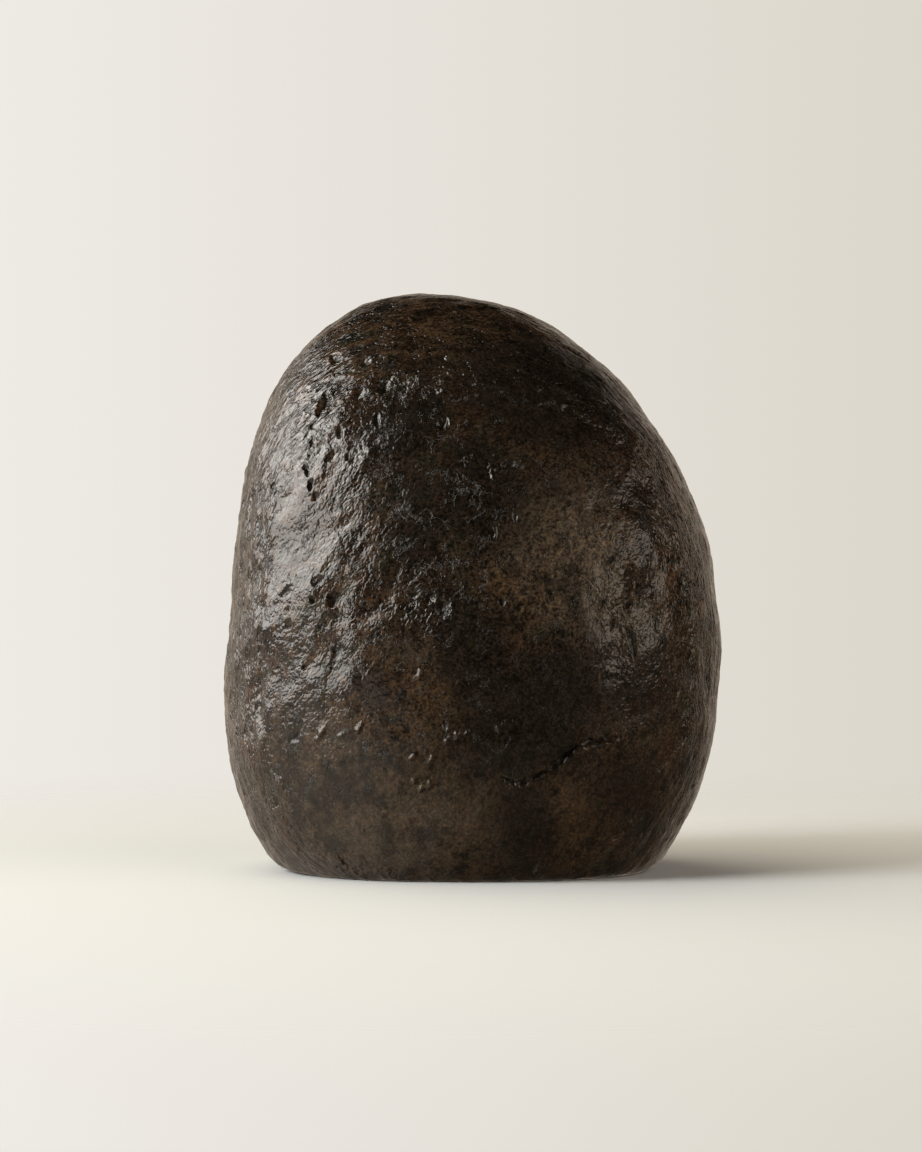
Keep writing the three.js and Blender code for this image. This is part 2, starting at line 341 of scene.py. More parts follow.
# How much each noise counts where colours mix. Each range is where the sum starts to count and
# where it counts in full, followed by the shares at both, unless those are 0 and 1.
BROWN_WEIGHTS = {"medium": 1.4, "broad": 0.7, "mottle": 0.5}
TINT_WEIGHTS = {"medium": 2.4, "mottle": 1.6}
DARK_WEIGHTS = {"medium": 1.2, "mottle": 0.5}
FLECK_WEIGHTS = {"mottle": 0.3, "flecks": 0.7}
BROWN_RANGE = (1.02, 1.4)
RUST_RANGE = (0.49, 0.56)
OLIVE_RANGE = (0.48, 0.41)
TINT_RANGE = (2.1, 3.1, 0.0, 0.9)
DARK_RANGE = (0.95, 1.6, 0.0, 0.92)
SOOT_RANGE = (0.5, 0.58, 0.0, 0.7)
FLECK_RANGE = (0.42, 0.7)
CALM_RANGE = (0.0, 1.0, 0.0, 0.5)
CALM_SHADE = 1.1
# Painted shade in the creases, furrows, vesicles and crack: at their deepest, the colour falls to
# this share.
PAINTED_HOLLOW_SHADE = (0.0, 1.0, 1.0, 0.3)

# The rim's streaks, and the creases, which lie where a noise crosses its middle value.
RING_WANDER = 0.3
RING_RANGE = (0.6, 0.7)
NOISE_MIDDLE = 0.5
FURROW_WIDTH = 0.03
CREASE_WIDTH = 0.02
CREASE_GATE = (0.5, 0.6)
FOLD_WIDTH = 0.12

# (cells per metre, radius over spacing, random value below which a cell has one) of the pinholes.
PINHOLES = (210.0, 0.2, 0.3)
PINHOLE_EDGE = 0.1

WEAR_RANGE = (0.3, 0.7)
MATT_WEIGHTS = {"grey": 0.12, "cavity": 0.12}
WAX_IOR = 1.5

# The backdrop and the room, by parts of a unit direction: across to the right, away, and up.
WALL_BLEND = (-0.15, 0.15)
WALL_LEAN = -0.0875
WALL_EDGE = (0.49, 0.515)
WALL_TOP = (0.35, 0.6)
ROOM_BLEND = (-0.9, 0.9)
GROUND_LINE = (-0.05, 0.0)
GROUND_BLEND = (-0.55, 0.05)
FAR_GROUND_RISE = (-0.5, -0.15, 0.0, 0.85)
FAR_GROUND_DEPTH = (0.4, 0.9)

FLOOR_SEGMENTS = 96
SENSOR_WIDTH = 36.0
LAMP_DISTANCE = 2.6

# (name, heading, half spread, radiance, colour, job) of the lamps. A heading is in degrees round to
# the left from the camera's side, and up. The spread is how wide and high the stone sees the lamp.
# A lamp's job is to give the wax its reflections, to light the colours, or to light the floor.
SOFTBOXES = (
    ("Key light", (60, 25), (12, 12), 14.0, (1.0, 0.95, 0.87), "colours"),
    ("Room light", (-55, 12), (35, 30), 1.7, (1.0, 0.86, 0.7), "colours"),
    ("Floor key", (70, 25), (12, 12), 3.6, (0.92, 0.96, 1.0), "floor"),
    ("Floor fill", (115, 50), (42, 36), 1.57, (1.0, 0.88, 0.64), "floor"),
    ("Key softbox", (83, 25), (32, 21), 6.0, (1.0, 0.96, 0.9), "wax"),
    ("Key heart", (98, 27), (15, 12), 2.0, (1.0, 0.96, 0.9), "wax"),
    ("High softbox", (83, 47), (13, 13), 6.5, (1.0, 0.96, 0.9), "wax"),
    ("Right fill", (-68, 17), (20, 12), 2.3, (1.0, 0.87, 0.72), "wax"),
)


def compass_direction(azimuth, elevation):
    """Unit vector from the core towards a place on the skin."""
    level = math.cos(math.radians(elevation))
    return np.array((
        math.sin(math.radians(azimuth)) * level,
        -math.cos(math.radians(azimuth)) * level,
        math.sin(math.radians(elevation)),
    ))


def drop_from_crown(heights):
    """Square root of the drop below the crown, which makes the top close roundly."""
    return np.sqrt(np.maximum(0.0, 1.0 - heights / HEIGHT))


def make_profile(reaches, side, crown):
    """A smooth curve through one side's stations, as a function of height."""
    stations = sorted([(0.0, crown)] + [(float(drop_from_crown(h)), side * r) for h, r in reaches])
    drops, offsets = np.array(stations).T
    last = len(stations) - 1
    before = np.maximum(np.arange(last + 1) - 1, 0)
    after = np.minimum(np.arange(last + 1) + 1, last)
    slopes = (offsets[after] - offsets[before]) / (drops[after] - drops[before])

    def profile(heights):
        drop = drop_from_crown(heights)
        i = np.clip(np.searchsorted(drops, drop) - 1, 0, last - 1)
        span = drops[i + 1] - drops[i]
        t = (drop - drops[i]) / span
        bend = t * t * (3 - 2 * t)
        leave = slopes[i] * t * (1 - t) ** 2
        arrive = slopes[i + 1] * t * t * (t - 1)
        smooth = offsets[i] + (offsets[i + 1] - offsets[i]) * bend + span * (leave + arrive)
        straight = offsets[last] + slopes[last] * (drop - drops[last])
        return np.where(drop > drops[last], straight, smooth)

    return profile


LEFT = make_profile(LEFT_REACH, -1, CROWN[0])
RIGHT = make_profile(RIGHT_REACH, 1, CROWN[0])
FRONT = make_profile(FRONT_REACH, -1, CROWN[1])
BACK = make_profile(BACK_REACH, 1, CROWN[1])


def is_inside(points):
    """Whether each point lies in the rounded box that is the level section at its height."""
    x, y, z = points.T
    left, right, front, back = LEFT(z), RIGHT(z), FRONT(z), BACK(z)
    across = np.abs(2 * x - left - right) / np.maximum(right - left, NOTHING)
    deep = np.abs(2 * y - front - back) / np.maximum(back - front, NOTHING)
    return (z < HEIGHT) & (across**SECTION_POWER + deep**SECTION_POWER < 1)


def floor_reach(directions, level):
    """How far each direction runs from the core before it meets a level plane below."""
    falling = np.minimum(directions[:, 2], -NOTHING)
    return np.where(directions[:, 2] < -NOTHING, (level - CORE[2]) / falling, FAR_AWAY)


def form_radii(directions):
    """Distance from the core to the plain form along each direction, found by halving."""
    near = np.zeros(len(directions))
    far = np.minimum(SEARCH_REACH, floor_reach(directions, -BELOW_BASE))
    for _ in range(SEARCH_STEPS):
        middle = (near + far) / 2
        inside = is_inside(CORE + directions * middle[:, None])
        near = np.where(inside, middle, near)
        far = np.where(inside, far, middle)
    return near


def surface_point(place):
    """The point of the plain form at a place."""
    direction = compass_direction(*place)
    return CORE + direction * form_radii(direction[None])[0]


class SkinFrame:
    """Axes at a place on the skin: along a turned feature, across it, and out of the stone."""

    def __init__(self, place, turn):
        azimuth, elevation = place
        self.point = surface_point(place)
        rightward = surface_point((azimuth + AXES_STEP, elevation)) - self.point
        upward = surface_point((azimuth, elevation + AXES_STEP)) - self.point
        self.out = np.cross(rightward, upward)
        self.out /= np.linalg.norm(self.out)
        level = rightward - self.out * rightward.dot(self.out)
        level /= np.linalg.norm(level)
        side = np.cross(self.out, level)
        angle = math.radians(turn)
        self.along = level * math.cos(angle) + side * math.sin(angle)
        self.across = np.cross(self.out, self.along)

    def spread(self, points, length, width):
        """Squared distance from the place, as a share of the feature's half length and width."""
        offsets = points - self.point
        along = 2 * offsets @ self.along / length
        across = 2 * offsets @ self.across / width
        far_side = np.abs(offsets @ self.out) > NEAR_SIDE
        return along**2 + across**2 + np.where(far_side, OUT_OF_REACH, 0.0)


def crack_lenses():
    """The crack as a chain of long, narrow lenses, one from each point of its path to the next."""
    lenses = []
    for start, end in zip(CRACK_PATH, CRACK_PATH[1:]):
        middle = ((start[0] + end[0]) / 2, (start[1] + end[1]) / 2)
        level = SkinFrame(middle, 0)
        run = surface_point(end) - surface_point(start)
        turn = math.degrees(math.atan2(run.dot(level.across), run.dot(level.along)))
        length = np.linalg.norm(run) * CRACK_OVERLAP
        lenses.append((middle, length, CRACK_WIDTH, CRACK_DEPTH, turn))
    return lenses


def wavering(number, middle, swing, beat):
    """A size or a turn that differs from one numbered vesicle to the next."""
    return middle + swing * math.sin(number * beat)


def spiral_vesicles():
    """The vesicles of the unseen sides, laid out on an even spiral."""
    vesicles = []
    for i in range(SPIRAL_COUNT):
        azimuth = np.interp((i * GOLDEN_RATIO) % 1, (0, 1), SPIRAL_AZIMUTHS)
        elevation = np.interp((i + 0.5) / SPIRAL_COUNT, (0, 1), SPIRAL_ELEVATIONS)
        width = wavering(i, *SPIRAL_WIDTH)
        length = width * wavering(i, *SPIRAL_STRETCH)
        turn = wavering(i, *SPIRAL_TURN)
        vesicles.append(((azimuth, elevation), length, width, width * SPIRAL_DEPTH, turn))
    return vesicles


def framed(features):
    """Each feature's sizes with its axes on the skin."""
    return [(SkinFrame(place, turn), *sizes) for place, *sizes, turn in features]


# ---- The stone's mesh ----


def box_net(counts):
    """A net on a box: its unit directions, its quads, and a chart position for each quad corner."""
    corners, charts = [], []
    sides = [(axis, end) for axis in range(3) for end in (0, 1)]
    for number, (axis, end) in enumerate(sides):
        u_axis, v_axis = [a for a in range(3) if a != axis]
        if (end == 0) != (axis == 1):
            u_axis, v_axis = v_axis, u_axis
        u, v = np.meshgrid(np.arange(counts[u_axis]), np.arange(counts[v_axis]), indexing="ij")
        for du, dv in ((0, 0), (1, 0), (1, 1), (0, 1)):
            cell = np.zeros((u.size, 3), int)
            cell[:, axis] = end * counts[axis]
            cell[:, u_axis] = u.ravel() + du
            cell[:, v_axis] = v.ravel() + dv
            corners.append(cell)
            u_share = CHART_MARGIN + CHART_SPAN * cell[:, u_axis] / counts[u_axis]
            v_share = CHART_MARGIN + CHART_SPAN * cell[:, v_axis] / counts[v_axis]
            column, row = number % CHART_COLUMNS, number // CHART_COLUMNS
            chart = ((column + u_share) / CHART_COLUMNS, (row + v_share) / CHART_ROWS)
            charts.append(np.stack(chart, axis=1))
    groups = [np.stack(corners[i : i + 4], axis=1) for i in range(0, len(corners), 4)]
    places = [np.stack(charts[i : i + 4], axis=1) for i in range(0, len(charts), 4)]
    cells = np.concatenate(groups).reshape(-1, 3)
    lattice, index = np.unique(cells, axis=0, return_inverse=True)
    spread = np.tan((2.0 * lattice / np.array(counts) - 1.0) * math.pi / 4)
    directions = spread / np.linalg.norm(spread, axis=1, keepdims=True)
    return directions, index.reshape(-1, 4), np.concatenate(places).reshape(-1, 2)


def make_net_mesh(counts):
    """The box net as a mesh on the unit sphere, with its charts as the bake map."""
    directions, quads, charts = box_net(counts)
    mesh = bpy.data.meshes.new(STONE_NODE)
    mesh.from_pydata(directions.tolist(), [], quads.tolist())
    layer = mesh.uv_layers.new(name="OFBake")
    layer.data.foreach_set("uv", charts.astype(np.float32).ravel())
    return mesh


def vertex_places(mesh):
    """The mesh's vertices as rows of an array."""
    flat = np.empty(len(mesh.vertices) * 3)
    mesh.vertices.foreach_get("co", flat)
    return flat.reshape(-1, 3)


def refine_near(mesh, features):
    """Splits the quads that carry a small feature, so that its lip and walls stay sharp."""
    directions = vertex_places(mesh)
    skin = CORE + directions * form_radii(directions)[:, None]
    close = np.zeros(len(skin), bool)
    for place, length, width, _ in features:
        close |= place.spread(skin, length + REFINED_MARGIN, width + REFINED_MARGIN) < 1.0
    net = bmesh.new()
    net.from_mesh(mesh)
    net.verts.ensure_lookup_table()
    edges = {
        edge
        for face in net.faces
        if any(close[vertex.index] for vertex in face.verts)
        for edge in face.edges
    }
    bmesh.ops.subdivide_edges(net, edges=list(edges), cuts=REFINED_CUTS, use_grid_fill=True)
    net.to_mesh(mesh)
    net.free()


def fractal(points, scale, octaves, seed, stretch=None):
    """Fractal noise at each point, with features of about the given size in millimetres."""
    shifted = points + seed * SEED_STEP
    if stretch is not None:
        axis, amount = stretch
        shifted = shifted - np.outer(points @ axis, axis) * (1 - 1 / amount)
    values = [
        noise.fractal(
            Vector(point), NOISE_INCREMENT, NOISE_LACUNARITY, octaves, noise_basis="PERLIN_ORIGINAL"
        )
        for point in (shifted / scale).tolist()
    ]
    return np.array(values)


def ring_places(points):
    """Places wrapped round the front-to-back axis, which draws noise out along the rim."""
    across, deep, up = (points - CORE).T
    radius = np.hypot(across, up)
    return np.stack([np.arctan2(across, up) * CORE[2] / RIM_STRETCH, deep, radius], axis=1)


def smooth_least(a, b, width):
    """The smaller of two values, with the change between them rounded over a width."""
    mix = np.clip(0.5 + 0.5 * (b - a) / width, 0.0, 1.0)
    return b + (a - b) * mix - width * mix * (1 - mix)


# ---- Materials ----


def add_node(tree, kind, links=None, **settings):
    """Adds a shader node, sets its fields, and fills its inputs with values or other outputs."""
    node = tree.nodes.new("ShaderNode" + kind)
    for name, value in settings.items():
        setattr(node, name, value)
    for name, value in (links or {}).items():
        if isinstance(value, bpy.types.NodeSocket):
            tree.links.new(value, node.inputs[name])
        else:
            node.inputs[name].default_value = value
    return node


def new_material(name):
    """An empty node material."""
    material = bpy.data.materials.new(name)
    material.use_nodes = True
    material.node_tree.nodes.clear()
    return material


def calculate(tree, operation, a, b=0.0, c=0.0):
    """One Math node's result."""
    return add_node(tree, "Math", {0: a, 1: b, 2: c}, operation=operation).outputs[0]


def add_weighted(tree, base, values, weights):
    """A base value plus each weighted one of the named values."""
    for name, weight in weights.items():
        base = calculate(tree, "MULTIPLY_ADD", values[name], weight, base)
    return base


def either(tree, share, a, b):
    """Value a, changing to value b as the share goes from 0 to 1."""
    return add_node(tree, "Mix", {0: share, 2: a, 3: b}, data_type="FLOAT").outputs[0]


def blend_colours(tree, share, a, b, mode="MIX"):
    """Colour a with colour b blended over it by a share from 0 to 1."""
    links = {0: share, 6: a, 7: b}
    return add_node(tree, "Mix", links, data_type="RGBA", blend_type=mode).outputs[2]


def map_range(tree, value, low, high, to_low=0.0, to_high=1.0, smooth=False):
    """A value's range turned into another range, clamped."""
    links = {"Value": value, "From Min": low, "From Max": high, "To Min": to_low, "To Max": to_high}
    shape = "SMOOTHSTEP" if smooth else "LINEAR"
    return add_node(tree, "MapRange", links, interpolation_type=shape).outputs[0]


def noise_value(tree, vector, name):
    """The value of one of the named noises, from 0 to 1."""
    links = {"Vector": vector}
    links.update(zip(("Scale", "Detail", "Roughness", "Distortion"), NOISES[name]))
    return add_node(tree, "TexNoise", links, noise_type="FBM", normalize=True).outputs[0]


def crease_line(tree, value, width):
    """1 where a noise crosses its middle value, falling to 0 at a width from there."""
    away = calculate(tree, "ABSOLUTE", calculate(tree, "SUBTRACT", value, NOISE_MIDDLE))
    return map_range(tree, away, 0.0, width, 1.0, 0.0, smooth=True)


def attribute_value(tree, name):
    """A value that the mesh carries at its points."""
    node = add_node(tree, "Attribute", attribute_name=name, attribute_type="GEOMETRY")
    return node.outputs["Fac"]


def stretched_position(tree, position, lean, stretch):
    """Positions in a frame that makes textures longer along an upright, leaning grain."""
    turn = (0.0, math.radians(lean), 0.0)
    links = {"Vector": position, "Rotation": turn, "Scale": (1.0, 1.0, stretch)}
    return add_node(tree, "Mapping", links, vector_type="TEXTURE").outputs[0]


def pushed_position(tree, position, name):
    """Positions pushed about by noise, which frays the edge of whatever is read there."""
    scale, reach = PUSHES[name]
    links = {"Vector": position, "Scale": scale, "Detail": PUSH_DETAIL, "Roughness": PUSH_ROUGHNESS}
    push = add_node(tree, "TexNoise", links).outputs["Color"]
    links = {0: push, 1: (NOISE_MIDDLE, NOISE_MIDDLE, NOISE_MIDDLE)}
    centred = add_node(tree, "VectorMath", links, operation="SUBTRACT")
    links = {0: centred.outputs[0], 1: (reach, reach, reach), 2: position}
    return add_node(tree, "VectorMath", links, operation="MULTIPLY_ADD").outputs[0]


def weathered_colour(tree, noises, soot, settings):
    """Brown-black glass under rust, olive, ochre, grey and red weathering and dark stains; the grey
    also paints light on the lower front.
    """
    rust, glass = settings.rust_colour, settings.glass_colour
    share = map_range(tree, noises["hue"], *RUST_RANGE)
    warm = blend_colours(tree, share, settings.brown_colour, rust)
    share = map_range(tree, noises["hue"], *OLIVE_RANGE)
    warm = blend_colours(tree, share, warm, settings.olive_colour)
    share = map_range(tree, add_weighted(tree, 0.0, noises, BROWN_WEIGHTS), *BROWN_RANGE)
    colour = blend_colours(tree, share, glass, warm)
    for name, tint in (
        ("grey", settings.grey_colour),
        ("ochre", settings.ochre_colour),
        ("rust", rust),
        ("red", settings.red_colour),
    ):
        ragged = add_weighted(tree, attribute_value(tree, name), noises, TINT_WEIGHTS)
        colour = blend_colours(tree, map_range(tree, ragged, *TINT_RANGE), colour, tint)
    dark = add_weighted(tree, attribute_value(tree, "dark"), noises, DARK_WEIGHTS)
    dark, soot = map_range(tree, dark, *DARK_RANGE), map_range(tree, soot, *SOOT_RANGE)
    return blend_colours(tree, calculate(tree, "MAXIMUM", dark, soot), colour, glass)


def basalt_colour(tree, spots, marks, settings):
    """The weathered colour, flecked all over and darkened by painted shade in the creases, vesicles
    and crack.
    """
    noises = {name: noise_value(tree, spots["frayed"], name) for name in ("broad", "medium", "hue")}
    front_mottle = noise_value(tree, spots["grain"], "mottle")
    noises["mottle"] = either(tree, marks["ring"], front_mottle, marks["streaks"])
    noises["flecks"] = noise_value(tree, spots["plain"], "flecks")
    soot = noise_value(tree, spots["frayed"], "soot")
    colour = weathered_colour(tree, noises, soot, settings)
    fleck = add_weighted(tree, 0.0, noises, FLECK_WEIGHTS)
    fleck_shade = map_range(tree, fleck, *FLECK_RANGE, settings.fleck_low, settings.fleck_high)
    calm = map_range(tree, attribute_value(tree, "calm"), *CALM_RANGE)
    fleck_shade = either(tree, calm, fleck_shade, CALM_SHADE)
    colour = blend_colours(tree, 1.0, colour, fleck_shade, "MULTIPLY")
    # Painted shade: the colour darkens with the depth of each crease, furrow and vesicle and of the
    # crack.
    shade = map_range(tree, marks["hollow"], *PAINTED_HOLLOW_SHADE)
    return blend_colours(tree, 1.0, colour, shade, "MULTIPLY")


def pinholes(tree, position):
    """Small pits strewn over the skin: 1 at a pit's middle, 0 at its rim and between pits."""
    scale, radius, kept = PINHOLES
    links = {"Vector": position, "Scale": scale, "Randomness": 1.0}
    cells = add_node(tree, "TexVoronoi", links, feature="F1")
    depth = map_range(tree, cells.outputs["Distance"], 0.0, radius, 1.0, 0.0, smooth=True)
    chosen = map_range(tree, cells.outputs["Color"], kept, kept + PINHOLE_EDGE, 1.0, 0.0)
    return calculate(tree, "MULTIPLY", depth, chosen)


def ring_position(tree, position, stretch):
    """Positions wrapped round the front-to-back axis, so that textures run along the rim."""
    core = tuple(CORE * MILLIMETRE)
    offset = add_node(tree, "VectorMath", {0: position, 1: core}, operation="SUBTRACT")
    split = add_node(tree, "SeparateXYZ", {0: offset.outputs[0]})
    across, deep, up = split.outputs
    angle = calculate(tree, "ARCTAN2", across, up)
    along = calculate(tree, "MULTIPLY", angle, core[2] / stretch)
    squares = calculate(tree, "MULTIPLY_ADD", across, across, calculate(tree, "MULTIPLY", up, up))
    radius = calculate(tree, "SQRT", squares)
    return add_node(tree, "CombineXYZ", {0: along, 1: deep, 2: radius}).outputs[0]


def broken_creases(tree, position):
    """Short, jagged shrinkage creases: 1 in a crease, 0 between creases."""
    line = crease_line(tree, noise_value(tree, position, "creases"), CREASE_WIDTH)
    gaps = noise_value(tree, position, "crease gaps")
    return calculate(tree, "MULTIPLY", line, map_range(tree, gaps, *CREASE_GATE, smooth=True))


def reading_spots(tree, settings):
    """The positions that textures are read at: as they are, frayed, leaning or round the rim."""
    plain = add_node(tree, "TexCoord").outputs["Object"]
    frayed = pushed_position(tree, plain, "frayed")
    grain = stretched_position(tree, plain, settings.grain_lean, settings.grain_stretch)
    jagged = pushed_position(tree, plain, "jagged")
    ring = pushed_position(tree, ring_position(tree, plain, settings.ring_stretch), "ring")
    return {"plain": plain, "frayed": frayed, "grain": grain, "jagged": jagged, "ring": ring}


def skin_marks(tree, spots):
    """Where the rim's streaks are, and how deep each point lies in a crease or a vesicle."""
    uneven = noise_value(tree, spots["jagged"], "uneven")
    rim = calculate(tree, "MAXIMUM", attribute_value(tree, "scored"), attribute_value(tree, "rim"))
    ring = calculate(tree, "MULTIPLY_ADD", uneven, RING_WANDER, rim)
    ring = map_range(tree, ring, *RING_RANGE, smooth=True)
    streaks = noise_value(tree, spots["ring"], "streaks")
    furrows = crease_line(tree, streaks, FURROW_WIDTH)
    creases = either(tree, ring, broken_creases(tree, spots["jagged"]), furrows)
    # The hollow mask sets the painted shade in the colour.
    hollow = calculate(tree, "MAXIMUM", attribute_value(tree, "cavity"), creases)
    return {"ring": ring, "streaks": streaks, "creases": creases, "hollow": hollow}


def basalt_relief(tree, spots, marks, settings):
    """Height of the skin's wrinkles, pinholes and grain, in metres."""
    folded = pushed_position(tree, spots["grain"], "folded")
    wrinkles = noise_value(tree, spots["grain"], "wrinkles")
    folds = noise_value(tree, folded, "folds")
    fold = calculate(tree, "ABSOLUTE", calculate(tree, "SUBTRACT", folds, NOISE_MIDDLE))
    fold = map_range(tree, fold, 0.0, FOLD_WIDTH)
    pits = pinholes(tree, folded)
    height = calculate(tree, "MULTIPLY", wrinkles, settings.wrinkle_height)
    height = calculate(tree, "MULTIPLY_ADD", fold, settings.fold_height, height)
    height = calculate(tree, "MULTIPLY_ADD", pits, -settings.pit_depth, height)
    height = calculate(tree, "MULTIPLY_ADD", marks["creases"], -settings.crease_depth, height)
    rough = attribute_value(tree, "rough")
    wild = calculate(tree, "MULTIPLY_ADD", rough, 1.0 - settings.tameness, settings.tameness)
    height = calculate(tree, "MULTIPLY", height, wild)
    streaks = calculate(tree, "MULTIPLY", marks["streaks"], settings.streak_height)
    streaks = calculate(tree, "MULTIPLY_ADD", marks["creases"], -settings.crease_depth, streaks)
    height = either(tree, marks["ring"], height, streaks)
    grain = calculate(tree, "MULTIPLY", noise_value(tree, spots["plain"], "grain"), wild)
    return calculate(tree, "MULTIPLY_ADD", grain, settings.grain_height, height)


def make_basalt(settings):
    """The stone's material."""
    material = new_material("Waxed basalt")
    tree = material.node_tree
    spots = reading_spots(tree, settings)
    marks = skin_marks(tree, spots)
    relief = basalt_relief(tree, spots, marks, settings)
    bump = add_node(tree, "Bump", {"Strength": 1.0, "Distance": 1.0, "Height": relief})
    wear = noise_value(tree, spots["plain"], "wear")
    roughness = map_range(tree, wear, *WEAR_RANGE, settings.gloss_low, settings.gloss_high)
    dulled = {name: attribute_value(tree, name) for name in MATT_WEIGHTS}
    roughness = add_weighted(tree, roughness, dulled, MATT_WEIGHTS)
    links = {
        "Base Color": basalt_colour(tree, spots, marks, settings),
        "Roughness": roughness,
        "IOR": WAX_IOR,
        "Normal": bump.outputs[0],
    }
    shader = add_node(tree, "BsdfPrincipled", links)
    add_node(tree, "OutputMaterial", {"Surface": shader.outputs[0]})
    return material


# ---- Settings ----


def number_property(name, description, default, **limits):
    """A number setting."""
    return FloatProperty(name=name, description=description, default=default, **limits)


def length_property(name, description, default):
    """A length setting, in metres."""
    return number_property(name, description, default, precision=5, unit="LENGTH")


def colour_property(name, description, default):
    """A colour setting, which is given without its alpha."""
    return FloatVectorProperty(
        name=name,
        description=description,
        default=(*default, 1.0),
        size=4,
        subtype="COLOR",
        min=0.0,
        max=1.0,
    )


class BasaltSettings(bpy.types.PropertyGroup):
    """Sizes and colours of the stone."""

    cells: IntVectorProperty(
        name="Cells", description="Net cells across, deep and high", default=(128, 72, 128), min=8
    )
    lump_height: number_property("Lump height", "Height of the lumps, in millimetres", 0.4)
    ripple_height: number_property("Ripple height", "Height of the ripples, in millimetres", 0.7)
    rim_ripple: number_property("Rim ripple", "Height of the rim's ripples, in millimetres", 0.6)
    wrinkle_height: length_property("Wrinkle height", "Height of the finest wrinkles", 0.0015)
    tameness: number_property(
        "Smooth places", "Share of fine relief left there", 0.28, min=0.0, max=1.0, subtype="FACTOR"
    )
    crease_depth: length_property("Crease depth", "Depth of the short shrinkage creases", 0.0003)
    streak_height: length_property("Streak height", "Height of the streaks along the rim", 0.0032)
    ring_stretch: number_property("Streak stretch", "Length over width of a streak", 3.0, min=1.0)
    fold_height: length_property("Fold height", "Height of the folds between creases", 0.00016)
    pit_depth: length_property("Pinhole depth", "Depth of the strewn pinholes", 0.0003)
    grain_height: length_property("Grain height", "Height of the crystal grain", 0.00014)
    grain_lean: number_property("Grain lean", "Lean of the wrinkles to the right, in degrees", 34.0)
    grain_stretch: number_property("Grain stretch", "Length over width of a wrinkle", 1.4, min=1.0)
    gloss_low: number_property("Glossy roughness", "Roughness where the wax shines", 0.13)
    gloss_high: number_property("Dull roughness", "Roughness where the wax is worn", 0.25)
    fleck_low: number_property("Dark flecks", "Brightness of the darkest flecks", 0.35, min=0.0)
    fleck_high: number_property("Pale flecks", "Brightness of the palest flecks", 3.4, min=0.0)
    glass_colour: colour_property("Glass", "Colour of the quenched glass", (0.0080, 0.0062, 0.0046))
    brown_colour: colour_property("Brown", "Colour of the fresh stone", (0.035, 0.0227, 0.0130))
    olive_colour: colour_property("Olive", "Colour of the greenish skin", (0.030, 0.0265, 0.0155))
    rust_colour: colour_property("Rust", "Colour of the rusted skin", (0.0455, 0.0248, 0.0126))
    red_colour: colour_property("Red", "Colour of the dark red stain", (0.028, 0.0115, 0.0075))
    ochre_colour: colour_property("Ochre", "Colour of the altered skin", (0.056, 0.035, 0.0185))
    grey_colour: colour_property("Grey", "Colour of the dulled skin", (0.063, 0.047, 0.030))


class StageSettings(bpy.types.PropertyGroup):
    """Camera, light and floor of the stage."""

    camera_distance: length_property("Camera distance", "From the stone's axis", 1.675)
    camera_height: length_property("Camera height", "Above the floor", 0.1523)
    camera_offset: length_property("Camera offset", "Right of the stone's axis", -0.0058)
    lens: number_property("Lens", "Focal length in millimetres", 100.0)
    floor_radius: length_property("Floor radius", "Radius of the floor disc", 1.4)
    fade_start: length_property("Fade start", "Radius where the floor starts to fade", 0.1)
    fade_end: length_property("Fade end", "Radius where the floor has gone", 0.9)
    floor_colour: colour_property("Floor", "Colour of the floor", (0.71, 0.75, 0.80))
    left_wall: colour_property("Left wall", "Backdrop on the left", (0.86, 0.825, 0.785))
    left_room: colour_property("Left room", "Room behind the stone on the left", (1.0, 0.84, 0.68))
    right_wall: colour_property("Right wall", "Backdrop on the right", (0.71, 0.675, 0.60))
    dim_wall: colour_property("Dim wall", "Far right of the room", (0.48, 0.395, 0.31))
    lit_floor: colour_property("Lit floor", "Floor on the stone's left", (0.80, 0.68, 0.56))
    dark_floor: colour_property("Dark floor", "Floor on the stone's right", (0.09, 0.075, 0.055))
    dark_room: colour_property("Dark room", "Room in front of the stone", (0.011, 0.009, 0.0065))


# ---- Operators ----


def long_relief(plain):
    """Height of the swells, hollows and bosses at each point of the plain form."""
    relief = np.zeros(len(plain))
    for length, height, heading, slope, start in SWELLS:
        wave = compass_direction(heading, slope) * (2 * math.pi / length)
        relief += height * np.sin(plain @ wave + start)
    for place, length, width, height in framed(BENDS):
        relief += height * np.exp(-place.spread(plain, length, width))
    return relief


def rippled_relief(plain, facing, settings):
    """Height of the skin's lumps and ripples, which run along the rim where the skin turns away."""
    relief = settings.lump_height * (SIDE_LUMPS + facing) * fractal(plain, *LUMPS)
    lean = math.radians(settings.grain_lean)
    grain_axis = np.array((math.sin(lean), 0.0, math.cos(lean)))
    wild = SMOOTH_RIPPLES + (1 - SMOOTH_RIPPLES) * patch_strength(plain, "rough")
    relief += settings.ripple_height * wild * fractal(plain, *RIPPLES, (grain_axis, RIPPLE_STRETCH))
    rim = np.clip(1 - facing / RIM_SHARE, 0, 1)
    drawn = np.minimum(1, RIM_GROWTH * rim) + patch_strength(plain, "scored")
    relief += settings.rim_ripple * drawn * fractal(ring_places(plain), *RIM_RIPPLES)
    return relief


